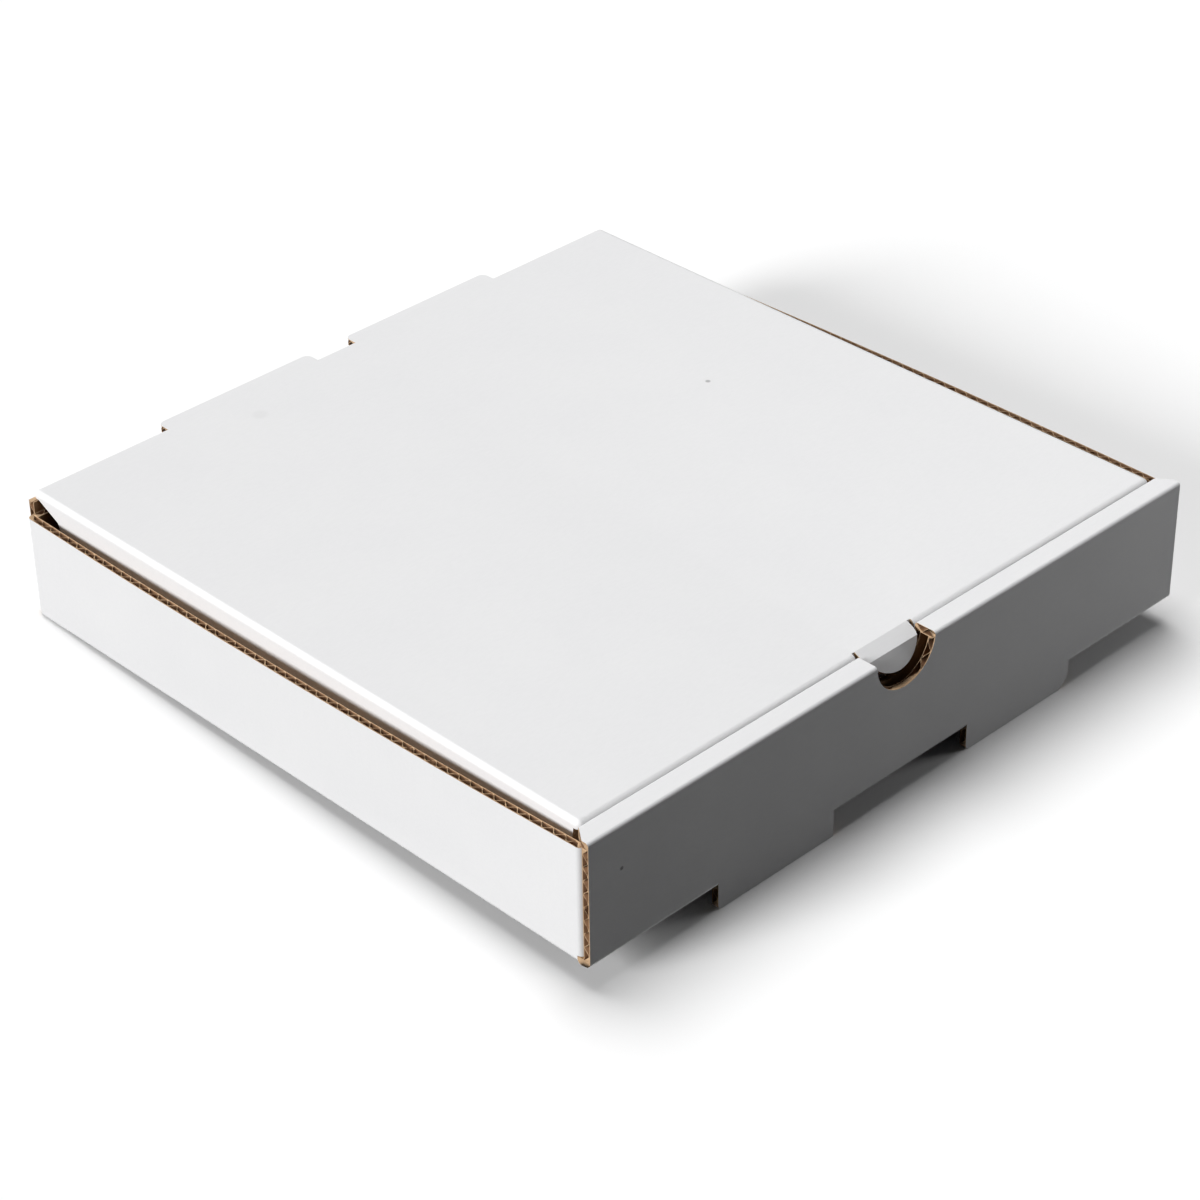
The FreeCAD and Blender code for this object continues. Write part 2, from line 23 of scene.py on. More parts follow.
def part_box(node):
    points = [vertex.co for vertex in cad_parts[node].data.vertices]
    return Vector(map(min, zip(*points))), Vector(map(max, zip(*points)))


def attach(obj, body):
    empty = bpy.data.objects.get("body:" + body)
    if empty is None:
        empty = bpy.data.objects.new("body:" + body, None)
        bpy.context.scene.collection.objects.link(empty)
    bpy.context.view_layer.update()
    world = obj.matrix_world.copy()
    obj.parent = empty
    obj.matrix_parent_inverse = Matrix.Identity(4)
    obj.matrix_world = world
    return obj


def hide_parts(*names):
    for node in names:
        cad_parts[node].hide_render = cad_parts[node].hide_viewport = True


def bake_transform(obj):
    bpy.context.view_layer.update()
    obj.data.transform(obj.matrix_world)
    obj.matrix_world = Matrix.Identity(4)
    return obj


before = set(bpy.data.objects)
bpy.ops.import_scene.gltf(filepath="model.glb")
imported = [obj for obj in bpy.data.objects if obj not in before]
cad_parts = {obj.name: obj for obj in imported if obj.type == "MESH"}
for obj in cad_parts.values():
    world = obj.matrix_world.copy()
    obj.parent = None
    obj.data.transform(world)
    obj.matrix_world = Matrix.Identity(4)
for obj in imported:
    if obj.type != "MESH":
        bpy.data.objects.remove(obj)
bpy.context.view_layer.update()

MM = 0.001
LOG = logging.getLogger("pizza_box")
X_AXIS = Vector((1, 0, 0))
Y_AXIS = Vector((0, 1, 0))
Z_AXIS = Vector((0, 0, 1))


class Paper(Enum):
    """The papers that a face of the box can show, in the order of the pieces' material slots."""

    WHITE = 0
    KRAFT = 1
    CUT = 2
    # Faces in the open flutes; their material's colour is darkened as painted shade in the hollows.
    FLUTING_AND_PAINTED_SHADE = 3


class Way(Enum):
    """The two ways in which the flutes can meet a raw edge."""

    ACROSS = "open flutes"
    ALONG = "a groove between the liners"


@dataclass(frozen=True)
class Board:
    """Corrugated board, as its raw edges show it.

    Attributes:
        thickness: Outside of one liner to outside of the other.
        liner: Thickness of each liner with the glue line.
        medium: Thickness of the fluting paper.
        pitch: One flute to the next.
        tip: Height at which a flute's thin ends are closed.
    """

    thickness: float = 3.0 * MM
    liner: float = 0.33 * MM
    medium: float = 0.26 * MM
    pitch: float = 5.6 * MM
    tip: float = 0.12 * MM

    @property
    def room(self) -> float:
        """Half of the space between the two liners."""
        return self.thickness / 2 - self.liner


@dataclass(frozen=True)
class Places:
    """Planes of the folded box, read from the frame and from the blank's own sizes.

    Attributes:
        board: The board that the box is folded from.
        side: Middle of the box to the outside of a side wall, at the floor.
        foot_drop: How far the feet reach below the floor panel.
        layer_gap: Gap between layers that lie on each other.
        front_inset: Front wall's end to the side wall's outside.
        inner_inset: Inner front panel's end to the side wall's outside.
        rear_inset: Rear wall's end to the side wall's outside.
        corner_flap: Reach of a corner flap.
        step_front: Box's top to the side wall's top at the front.
        step_rear: Box's top to the side wall's top at the rear.
        lid_gap: Front wall to the tuck flap.
        foot_place: Middle of the box to the middle of a foot.
        foot_width: Width of a foot.
        tongue_place: Middle of the box to the middle of a rear tongue.
        tongue_width: Width of a tongue.
        notch_radius: Radius of the thumb notch.
        vent_play: Play of a tongue in the rear wall's notch, at each end.
        fold_radius: Outer radius of a crease.
        tuck_drop: Height of the tuck flap.
        tuck_lean: How far its lower edge leans back.
        dust_drop: Height of the dust flaps.
        tray_low: Lower corner of the tray's box.
        tray_high: Upper corner of the tray's box.
        lid_high: Upper corner of the lid's box.
    """

    board: Board = Board()
    side: float = 157.5 * MM
    foot_drop: float = 10.0 * MM
    layer_gap: float = 0.3 * MM
    front_inset: float = 0.6 * MM
    inner_inset: float = 5.5 * MM
    rear_inset: float = 4.0 * MM
    corner_flap: float = 56.0 * MM
    step_front: float = 3.5 * MM
    step_rear: float = 8.0 * MM
    lid_gap: float = 0.5 * MM
    foot_place: float = 65.7 * MM
    foot_width: float = 59.0 * MM
    tongue_place: float = 48.5 * MM
    tongue_width: float = 77.0 * MM
    notch_radius: float = 15.5 * MM
    vent_play: float = 0.9 * MM
    fold_radius: float = 2.2 * MM
    tuck_drop: float = 35.0 * MM
    tuck_lean: float = 2.5 * MM
    dust_drop: float = 36.0 * MM
    tray_low: Vector = field(default_factory=lambda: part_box("tray")[0])
    tray_high: Vector = field(default_factory=lambda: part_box("tray")[1])
    lid_high: Vector = field(default_factory=lambda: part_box("lid")[1])

    @property
    def bow(self) -> float:
        """How far a side wall's top bulges beyond the floor's edge."""
        return self.tray_high.x - self.side

    @property
    def front(self) -> float:
        """Outside of the front wall."""
        return self.tray_low.y

    @property
    def rear(self) -> float:
        """Outside of the rear wall, and the lid's crease."""
        return self.tray_high.y

    @property
    def top(self) -> float:
        """Top of the lid and of the front wall."""
        return self.tray_high.z

    @property
    def floor(self) -> float:
        """Underside of the floor panel."""
        return self.tray_low.z + self.foot_drop

    @property
    def under_lid(self) -> float:
        """Underside of the lid panel."""
        return self.top - self.board.thickness

    @property
    def front_back(self) -> float:
        """Pizza side of the rolled over front wall."""
        return self.front + 3 * self.board.thickness + 2 * self.layer_gap

    @property
    def flap_front(self) -> float:
        """Front face of the front corner flaps."""
        return self.front + self.board.thickness + self.layer_gap

    @property
    def flap_rear(self) -> float:
        """Rear face of the rear corner flaps."""
        return self.rear - self.board.thickness - self.layer_gap

    @property
    def lid_front(self) -> float:
        """Front crease of the lid."""
        return self.front_back + self.lid_gap

    def bulge(self, y: float, z: float) -> float:
        """Outward bulge of a side wall at a point.

        Args:
            y: Place along the wall.
            z: Height.

        Returns:
            The distance from the plane that the wall's foot lies in.
        """
        low = self.flap_front + self.board.thickness
        high = self.flap_rear - self.board.thickness
        along = (2 * y - low - high) / (high - low)
        foot = self.floor + self.board.thickness + self.layer_gap
        share = (z - foot) / (self.top - self.step_front - foot)
        return self.bow * max(0.0, 1 - along * along) * max(0.0, share)


def select_only(*objects: Object) -> None:
    """Selects some objects alone and makes the first one active.

    Args:
        *objects: The objects.
    """
    bpy.ops.object.select_all(action="DESELECT")
    for item in objects:
        item.select_set(True)
    bpy.context.view_layer.objects.active = objects[0]


@contextmanager
def editing(item: Object, kind: str = "FACE") -> Iterator[None]:
    """Edit mode on one object, with everything selected at first.

    Args:
        item: The mesh object.
        kind: Which elements selecting works on, VERT, EDGE or FACE.
    """
    select_only(item)
    bpy.ops.object.mode_set(mode="EDIT")
    bpy.ops.mesh.select_mode(type=kind)
    bpy.ops.mesh.select_all(action="SELECT")
    yield
    bpy.ops.object.mode_set(mode="OBJECT")


@dataclass(frozen=True)
class EdgeRun:
    """A straight run of raw edge that gets its flutes cut open.

    Attributes:
        start: Point of the run's beginning, in the middle of the board and just outside its edge.
        along: Direction of the run.
        inward: Direction from the edge into the board.
        length: Length of the run.
        depth: How deep the cut goes from the start point.
        way: How the flutes meet the edge.
        seed: Picks the run's own unevenness.
        bulge: For a wall that bulges, its outward shift at a place along Y and a height.
    """

    start: Vector
    along: Vector
    inward: Vector
    length: float
    depth: float
    way: Way = Way.ACROSS
    seed: int = 1
    bulge: Callable[[float, float], float] | None = None


@dataclass
class FluteCutter:
    """Makes the solids that are taken out of a raw edge to leave liners and fluting paper standing.

    Attributes:
        board: The board that is cut.
        unevenness: Largest shift of a flute's points, as cut paper has it.
        steps: Sides of a flute's curved outline.
        grid: Points of a cutter that lie in the same cell of this size are shifted together.
    """

    board: Board
    unevenness: float = 0.16 * MM
    steps: int = 8
    grid: float = 0.2 * MM

    def flute_outline(self) -> list[Vector]:
        """Outline of one upper flute, along X and across Z, centred on its own middle.

        Returns:
            Points from the flat side's left end round the curve to its right end.
        """
        board = self.board
        reach = board.room - board.medium / 2
        last = (math.pi - math.acos(1 - board.tip / reach)) / (2 * math.pi) * board.pitch
        points = [Vector((-last, 0, board.room))]
        for i in range(self.steps + 1):
            x = -last + 2 * last * i / self.steps
            z = board.medium / 2 - reach * math.cos(2 * math.pi * x / board.pitch)
            points.append(Vector((x, 0, min(z, board.room - board.tip / 2))))
        points.append(Vector((last, 0, board.room)))
        return points

    def flute(self, depth: float) -> Object:
        """One upper flute as a closed prism that starts at Y 0 and runs to Y depth.

        Args:
            depth: Length of the prism.

        Returns:
            The prism.
        """
        outline = self.flute_outline()
        bpy.ops.mesh.primitive_circle_add(vertices=len(outline), radius=MM, fill_type="NGON")
        prism = bpy.context.object
        for vertex, place in zip(prism.data.vertices, outline):
            vertex.co = place
        with editing(prism):
            bpy.ops.mesh.extrude_region_move(TRANSFORM_OT_translate={"value": (0, depth, 0)})
            bpy.ops.mesh.select_all(action="SELECT")
            bpy.ops.mesh.normals_make_consistent(inside=False)
        return prism

    def row(self, run: EdgeRun) -> Object:
        """A row of upper and lower flutes, side by side along X.

        Args:
            run: The raw edge that the row is made for.

        Returns:
            The row, with its corner at the run's start and still in its own axes.
        """
        pitch = self.board.pitch
        count = max(1, int(run.length / pitch))
        upper = self.flute(run.depth)
        select_only(upper)
        bpy.ops.object.duplicate()
        lower = bpy.context.object
        with editing(lower):
            bpy.ops.transform.resize(value=(1, 1, -1), center_override=(0, 0, 0))
            bpy.ops.transform.translate(value=(pitch / 2, 0, 0))
            bpy.ops.mesh.normals_make_consistent(inside=False)
        for item in (upper, lower):
            select_only(item)
            repeat = item.modifiers.new("repeat", "ARRAY")
            repeat.use_relative_offset = False
            repeat.use_constant_offset = True
            repeat.constant_offset_displace = (pitch, 0, 0)
            repeat.count = count
            bpy.ops.object.modifier_apply(modifier=repeat.name)
        select_only(upper, lower)
        bpy.ops.object.join()
        spare = run.length - count * pitch
        upper.data.transform(Matrix.Translation((pitch / 2 + spare / 2 - pitch / 4, 0, 0)))
        return upper

    def groove(self, run: EdgeRun) -> Object:
        """A groove between the liners, for an edge that runs along the flutes.

        Args:
            run: The raw edge that the groove is made for.

        Returns:
            The groove's solid in its own axes.
        """
        centre = (run.length / 2, run.depth / 2, 0)
        sides = (run.length, run.depth, 2 * self.board.room)
        bpy.ops.mesh.primitive_cube_add(size=1, location=centre, scale=sides)
        block = bpy.context.object
        bpy.ops.object.transform_apply()
        stretches = max(2, int(run.length / self.board.pitch))
        for i in range(1, stretches):
            with editing(block):
                place = (run.length * i / stretches, 0, 0)
                bpy.ops.mesh.bisect(plane_co=place, plane_no=(1, 0, 0))
        return block

    def make_uneven(self, cutter: Object, seed: int) -> None:
        """Shifts and swells each flute a little, the same way over its whole depth.

        Args:
            cutter: The row or groove.
            seed: Seed of the draws.
        """
        draws = random.Random(seed)
        shifts: dict[tuple[int, int], tuple[float, float]] = {}
        for vertex in cutter.data.vertices:
            key = (round(vertex.co.x / self.grid), round(vertex.co.z / self.grid))
            if key not in shifts:
                amount = self.unevenness
                shifts[key] = (draws.uniform(-amount, amount), draws.uniform(-amount, amount) / 2)
            shift_x, shift_z = shifts[key]
            vertex.co.x += shift_x
            limit = self.board.room - self.board.tip / 4
            if abs(vertex.co.z) < limit:
                vertex.co.z = max(-limit, min(limit, vertex.co.z + shift_z))

    def cut_solid(self, run: EdgeRun) -> Object:
        """The solid for one run of raw edge, in its place on the box.

        Args:
            run: The raw edge.

        Returns:
            The solid, its place in its mesh.
        """
        cutter = self.row(run) if run.way is Way.ACROSS else self.groove(run)
        self.make_uneven(cutter, run.seed)
        across = run.along.cross(run.inward)
        axes = Matrix((run.along, run.inward, across)).transposed().to_4x4()
        axes.translation = run.start
        cutter.data.transform(axes)
        if run.bulge:
            for vertex in cutter.data.vertices:
                x, y, z = vertex.co
                vertex.co.x += math.copysign(run.bulge(y, z), x)
        with editing(cutter):
            bpy.ops.mesh.normals_make_consistent(inside=False)
        return cutter


@dataclass
class FoldedPart:
    """One folded part of the blank, made from a node of the frame.

    Attributes:
        node: The node that it stands for, and the body that it rides on.
        name: Name of the piece.
        papers: The four materials, in the order of Paper.
        places: Planes of the box.
        crease_turn: Faces that meet at less than this turn are one sheet of paper.
        near: Faces this close to a plane lie on it.
        flute_depth: How deep a raw edge's flutes are cut open.
        proud: How far outside the raw edge a cut starts.
        groove_depth: Depth of the groove in an edge that runs along the flutes.
    """

    papers: list[Material]
    places: Places
    node: str = ""
    name: str = ""
    crease_turn: float = math.radians(55)
    near: float = 0.12 * MM
    flute_depth: float = 14.0 * MM
    proud: float = 0.8 * MM
    groove_depth: float = 0.9 * MM

    def white_seed(self, face: MeshPolygon) -> bool:
        """Whether a face is certainly white liner."""
        raise NotImplementedError

    def kraft_face(self, face: MeshPolygon) -> bool:
        """Whether a face is brown liner."""
        raise NotImplementedError

    def cut_face(self, face: MeshPolygon) -> bool:
        """Whether a face is a raw edge, even where it meets white liner at a flat angle."""
        return False

    def edge_runs(self) -> Iterator[EdgeRun]:
        """The raw edges that are opened."""
        raise NotImplementedError

    def on_plane(self, face: MeshPolygon, axis: int, sign: int, place: float) -> bool:
        """Whether a face looks along an axis and lies at a place on it.

        Args:
            face: The face.
            axis: 0, 1 or 2 for X, Y or Z.
            sign: 1 if it looks along the axis, -1 if it looks back along it.
            place: The plane's coordinate.

        Returns:
            True if it does.
        """
        return face.normal[axis] * sign > 0.97 and abs(face.center[axis] - place) < self.near

    def outward(self, face: MeshPolygon) -> float:
        """How far a face looks away from the middle of the box, from -1 to 1."""
        return math.copysign(1, face.center.x) * face.normal.x

    def cover(self, item: Object, paper: Paper) -> None:
        """Gives an object the four materials, and one of them to all its faces.

        Args:
            item: The object.
            paper: The paper of its faces.
        """
        item.data.materials.clear()
        for material in self.papers:
            item.data.materials.append(material)
        for face in item.data.polygons:
            face.material_index = paper.value

    def copy_node(self) -> Object:
        """A merged copy of the node, with flat regions joined into whole faces.

        Returns:
            The new piece, with its material slots filled.
        """
        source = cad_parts[self.node]
        piece = bpy.data.objects.new(self.name, source.data.copy())
        bpy.context.scene.collection.objects.link(piece)
        self.cover(piece, Paper.CUT)
        with editing(piece, "VERT"):
            bpy.ops.mesh.remove_doubles(threshold=0.005 * MM)
            bpy.ops.mesh.dissolve_limited(angle_limit=math.radians(0.4))
            bpy.ops.mesh.normals_make_consistent(inside=False)
        return piece

    def sort_papers(self, piece: Object) -> None:
        """Gives each face of the piece its paper.

        Args:
            piece: The merged copy.
        """
        tests = {Paper.KRAFT: self.kraft_face, Paper.WHITE: self.white_seed, Paper.CUT: self.cut_face}
        with editing(piece):
            for paper, test in tests.items():
                bpy.ops.object.mode_set(mode="OBJECT")
                for face in piece.data.polygons:
                    face.select = test(face)
                bpy.ops.object.mode_set(mode="EDIT")
                if paper is Paper.WHITE:
                    bpy.ops.mesh.faces_select_linked_flat(sharpness=self.crease_turn)
                piece.active_material_index = paper.value
                bpy.ops.object.material_slot_assign()

    def open_edges(self, piece: Object) -> None:
        """Cuts the flutes of all raw edges open.

        Args:
            piece: The sorted piece.
        """
        cutter_maker = FluteCutter(self.places.board)
        solids = [cutter_maker.cut_solid(run) for run in self.edge_runs()]
        select_only(*solids)
        bpy.ops.object.join()
        cutter = bpy.context.object
        self.cover(cutter, Paper.FLUTING_AND_PAINTED_SHADE)
        select_only(piece)
        opening = piece.modifiers.new("open_edges", "BOOLEAN")
        opening.operation = "DIFFERENCE"
        opening.solver = "EXACT"
        opening.use_self = True
        opening.material_mode = "TRANSFER"
        opening.object = cutter
        bpy.ops.object.modifier_apply(modifier=opening.name)
        bpy.data.objects.remove(cutter)

    def finish_normals(self, piece: Object) -> None:
        """Smooths the rounded creases and keeps the panels flat.

        Args:
            piece: The opened piece.
        """
        select_only(piece)
        bpy.ops.object.shade_smooth_by_angle(angle=math.radians(50))
        weigh = piece.modifiers.new("flat_panels", "WEIGHTED_NORMAL")
        weigh.keep_sharp = True
        weigh.weight = 100
        bpy.ops.object.modifier_apply(modifier=weigh.name)

    def build(self) -> None:
        """Builds the part and hangs it on its body."""
        piece = self.copy_node()
        self.sort_papers(piece)
        self.open_edges(piece)
        self.finish_normals(piece)
        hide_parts(self.node)
        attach(piece, self.node)
        LOG.info("%s: %d faces", piece.name, len(piece.data.polygons))


@dataclass
class Tray(FoldedPart):
    """Floor, walls, corner flaps, rolled over front and feet.

    Attributes:
        foot_proud: How far outside a foot a cut starts.
        foot_depth: Depth of the cuts in a foot's ends.
        foot_low: Height of their lower end above the foot's tip.
        foot_trim: By how much they are shorter than the foot.
        tip_start: Foot's left end to the start of the groove in its tip.
        tip_trim: By how much that groove is shorter than the foot.
        notch_room: How far the cuts through the notch reach past its sides.
        notch_low: How far above the notch's lowest point they start.
    """

    node: str = "tray"
    name: str = "tray_board"
    foot_proud: float = 0.5 * MM
    foot_depth: float = 9.0 * MM
    foot_low: float = 2.0 * MM
    foot_trim: float = 2.5 * MM
    tip_start: float = 6.0 * MM
    tip_trim: float = 16.0 * MM
    notch_room: float = 8.0 * MM
    notch_low: float = 0.5 * MM

    def white_seed(self, face: MeshPolygon) -> bool:
        """Whether a face lies on the front wall's outside."""
        return self.on_plane(face, 1, -1, self.places.front)

    def kraft_face(self, face: MeshPolygon) -> bool:
        """Whether a face is the brown side of the floor, a wall or a flap.

        Args:
            face: The face.

        Returns:
            True if it is.
        """
        box = self.places
        board = box.board.thickness
        planes = (
            (2, 1, box.floor + board),
            (1, 1, box.front + board),
            (2, -1, box.under_lid),
            (1, -1, box.front_back - board),
            (1, 1, box.flap_front + board),
            (1, -1, box.flap_rear - board),
            (1, -1, box.rear - board),
        )
        if any(self.on_plane(face, *plane) for plane in planes):
            return True
        inside = box.side - board + box.bulge(face.center.y, face.center.z)
        return self.outward(face) < -0.97 and abs(abs(face.center.x) - inside) < 2 * box.bow

    def cut_face(self, face: MeshPolygon) -> bool:
        """Whether a face is an end of the front or the rear wall.

        Args:
            face: The face.

        Returns:
            True if it is.
        """
        box = self.places
        x, y, z = face.center
        if self.outward(face) < 0.6:
            return False
        outer = y < box.flap_front - box.layer_gap or y > box.flap_rear + self.near
        strip = z > box.top - box.step_front + self.near and y < box.front_back
        inner = y < box.front_back and abs(x) < box.side - box.board.thickness - self.near
        return outer or strip or inner

    def edge_runs(self) -> Iterator[EdgeRun]:
        """The raw edges that are opened.

        Yields:
            The runs of the left side, the right side, the feet and the notch.
        """
        for side in (-1, 1):
            yield self.wall_run(side)
            yield from self.flap_runs(side)
            yield from self.end_runs(side)
        yield from self.foot_runs()
        yield from self.notch_runs()

    def wall_run(self, side: int) -> EdgeRun:
        """The sloping, bowed top of a side wall.

        Args:
            side: 1 for the right wall, -1 for the left one.

        Returns:
            Its run.
        """
        box = self.places
        half_board = box.board.thickness / 2
        first = box.flap_front + half_board
        length = box.flap_rear - half_board - first
        start = Vector((side * (box.side - half_board), first, box.top - box.step_front + self.proud))
        depth = box.step_rear + self.flute_depth
        return EdgeRun(start, Y_AXIS, -Z_AXIS, length, depth, seed=11 + side, bulge=box.bulge)

    def flap_runs(self, side: int) -> Iterator[EdgeRun]:
        """The tops of the corner flaps on one side.

        Args:
            side: 1 for the right side, -1 for the left one.

        Yields:
            The runs of the front and the rear flap.
        """
        box = self.places
        half_board = box.board.thickness / 2
        reach = box.corner_flap - box.board.thickness - 2 * self.proud
        inner, outer = box.side - box.corner_flap + self.proud, box.side - box.board.thickness - self.proud
        low_x = inner if side > 0 else -outer
        tops = (
            (box.flap_front + half_board, box.top - box.step_front),
            (box.flap_rear - half_board, box.top - box.step_rear),
        )
        for i, (flap_y, flap_top) in enumerate(tops):
            start = Vector((low_x, flap_y, flap_top + self.proud))
            yield EdgeRun(start, X_AXIS, -Z_AXIS, reach, self.flute_depth, seed=21 + 2 * side + i)

    def end_runs(self, side: int) -> Iterator[EdgeRun]:
        """The ends of the walls that run along X, on one side.

        Args:
            side: 1 for the right ends, -1 for the left ones.

        Yields:
            The runs of the front wall, the inner panel, the rear wall and the front wall's top strip.
        """
        box = self.places
        board = box.board.thickness
        inward = -side * X_AXIS
        low = box.floor + board
        ends = (
            (box.side - box.front_inset + self.proud, box.front + board / 2),
            (box.side - box.inner_inset + board / 3, box.front_back - board / 2),
            (box.side - box.rear_inset + self.proud, box.rear - board / 2),
        )
        tall = box.under_lid - low
        for i, (end_x, end_y) in enumerate(ends):
            start = Vector((side * end_x, end_y, low))
            yield EdgeRun(start, Z_AXIS, inward, tall, self.flute_depth, seed=31 + 3 * side + i)
        strip_x, strip_y = ends[0]
        start = Vector((side * strip_x, strip_y, box.top - board / 2))
        strip = box.front_back - box.front - board
        yield EdgeRun(start, Y_AXIS, inward, strip, self.flute_depth, seed=41 + side)

    def foot_runs(self) -> Iterator[EdgeRun]:
        """The ends and tips of the two feet.

        Yields:
            Three runs for each foot.
        """
        box = self.places
        middle = box.front + box.board.thickness / 2
        tall = box.foot_drop - self.foot_trim
        length = box.foot_width - self.tip_trim
        for side in (-1, 1):
            centre = side * box.foot_place
            for end in (-1, 1):
                start = Vector((centre + end * (box.foot_width / 2 + self.foot_proud), middle, self.foot_low))
                seed = 51 + 2 * side + end
                yield EdgeRun(start, Z_AXIS, -end * X_AXIS, tall, self.foot_depth, seed=seed)
            left = centre - box.foot_width / 2 + self.tip_start
            start = Vector((left, middle, box.tray_low.z - self.foot_proud))
            depth = self.foot_proud + self.groove_depth
            yield EdgeRun(start, X_AXIS, Z_AXIS, length, depth, Way.ALONG, seed=61 + side)

    def notch_runs(self) -> Iterator[EdgeRun]:
        """The flutes that the thumb notch cuts through, each run right across it.

        Yields:
            The runs of the outer panel, the inner panel and the top strip.
        """
        box = self.places
        board = box.board.thickness
        depth = 2 * (box.notch_radius + self.notch_room)
        left = -depth / 2
        low = box.top - box.notch_radius + self.notch_low
        for i, panel_y in enumerate((box.front + board / 2, box.front_back - board / 2)):
            start = Vector((left, panel_y, low))
            yield EdgeRun(start, Z_AXIS, X_AXIS, box.under_lid - low, depth, seed=71 + i)
        start = Vector((left, box.front + board, box.top - board / 2))
        strip = box.front_back - box.front - 2 * board
        yield EdgeRun(start, Y_AXIS, X_AXIS, strip, depth, seed=73)


@dataclass
class Lid(FoldedPart):
    """Top panel, dust flaps, tuck flap with its thumb tab, and rear tongues.

    Attributes:
        dust_front: Front crease to the start of the cut in a dust flap's lower edge.
        dust_rear: End of that cut to the rear crease.
        tuck_start: Top of the cut in a tuck flap's end, below the lid.
        tuck_trim: By how much that cut is shorter than the flap.
        tuck_side: Gap between the tuck flap's end and the dust flap.
        tongue_back: How far inside the rear crease a tongue's end cut starts.
        tongue_trim: Tongue's end to the groove in its rear edge.
    """

    node: str = "lid"
    name: str = "lid_board"
    dust_front: float = 8.0 * MM
    dust_rear: float = 24.5 * MM
    tuck_start: float = 4.0 * MM
    tuck_trim: float = 20.0 * MM
    tuck_side: float = 1.0 * MM
    tongue_back: float = 0.6 * MM
    tongue_trim: float = 5.0 * MM

    def white_seed(self, face: MeshPolygon) -> bool:
        """Whether a face lies on the lid's top or on the front of the tuck flap.

        Args:
            face: The face.

        Returns:
            True if it does.
        """
        box = self.places
        tuck = face.normal.y < -0.9 and abs(face.center.x) < box.lid_high.x - box.board.thickness
        return tuck or self.on_plane(face, 2, 1, box.top)

    def kraft_face(self, face: MeshPolygon) -> bool:
        """Whether a face is the brown side of the lid or one of its flaps.

        Args:
            face: The face.

        Returns:
            True if it is.
        """
        box = self.places
        board = box.board.thickness
        if self.on_plane(face, 2, -1, box.under_lid):
            return True
        x, y = abs(face.center.x), face.center.y
        in_dust = self.outward(face) < -0.97 and abs(x - box.lid_high.x + board) < self.near
        behind_tuck = face.normal.y > 0.9 and abs(y - box.lid_front - board) < 2 * box.tuck_lean
        under_tab = face.normal.z < -0.35 and face.normal.y > 0.3 and x < box.notch_radius
        return in_dust or behind_tuck or under_tab

    def edge_runs(self) -> Iterator[EdgeRun]:
        """The raw edges that are opened.

        Yields:
            The runs of the dust flap, the tuck flap's end and the tongue, left and then right.
        """
        for side in (-1, 1):
            yield self.dust_run(side)
            yield self.tuck_run(side)
            yield from self.tongue_runs(side)

    def dust_run(self, side: int) -> EdgeRun:
        """The lower edge of a dust flap.

        Args:
            side: 1 for the right flap, -1 for the left one.

        Returns:
            Its run.
        """
        box = self.places
        first = box.lid_front + self.dust_front
        bottom = box.top - box.dust_drop - self.proud
        start = Vector((side * (box.lid_high.x - box.board.thickness / 2), first, bottom))
        length = box.rear - self.dust_rear - first
        return EdgeRun(start, Y_AXIS, Z_AXIS, length, self.flute_depth, seed=81 + side)

    def tuck_run(self, side: int) -> EdgeRun:
        """An end of the tuck flap.

        Args:
            side: 1 for the right end, -1 for the left one.

        Returns:
            Its run.
        """
        box = self.places
        board = box.board.thickness
        down = Vector((0, box.tuck_lean, -box.tuck_drop)).normalized()
        end_x = box.lid_high.x - board - self.tuck_side + self.proud
        start = Vector((side * end_x, box.lid_front + board / 2, box.top)) + down * self.tuck_start
        length = box.tuck_drop - self.tuck_trim
        return EdgeRun(start, down, -side * X_AXIS, length, self.flute_depth, seed=85 + side)

    def tongue_runs(self, side: int) -> Iterator[EdgeRun]:
        """The ends and the rear edge of a tongue.

        Args:
            side: 1 for the right tongue, -1 for the left one.

        Yields:
            Its three runs.
        """
        box = self.places
        pitch = box.board.pitch
        middle = box.top - box.board.thickness / 2
        half_width = box.tongue_width / 2
        centre = side * box.tongue_place
        for end in (-1, 1):
            start = Vector((centre + end * (half_width + self.proud), box.rear - self.tongue_back, middle))
            seed = 91 + 2 * side + end
            yield EdgeRun(start, Y_AXIS, -end * X_AXIS, pitch, self.flute_depth, seed=seed)
        start = Vector((centre - half_width + self.tongue_trim, box.lid_high.y + self.proud, middle))
        length = box.tongue_width - 2 * self.tongue_trim
        depth = self.proud + self.groove_depth
        yield EdgeRun(start, X_AXIS, -Y_AXIS, length, depth, Way.ALONG, seed=97 + side)


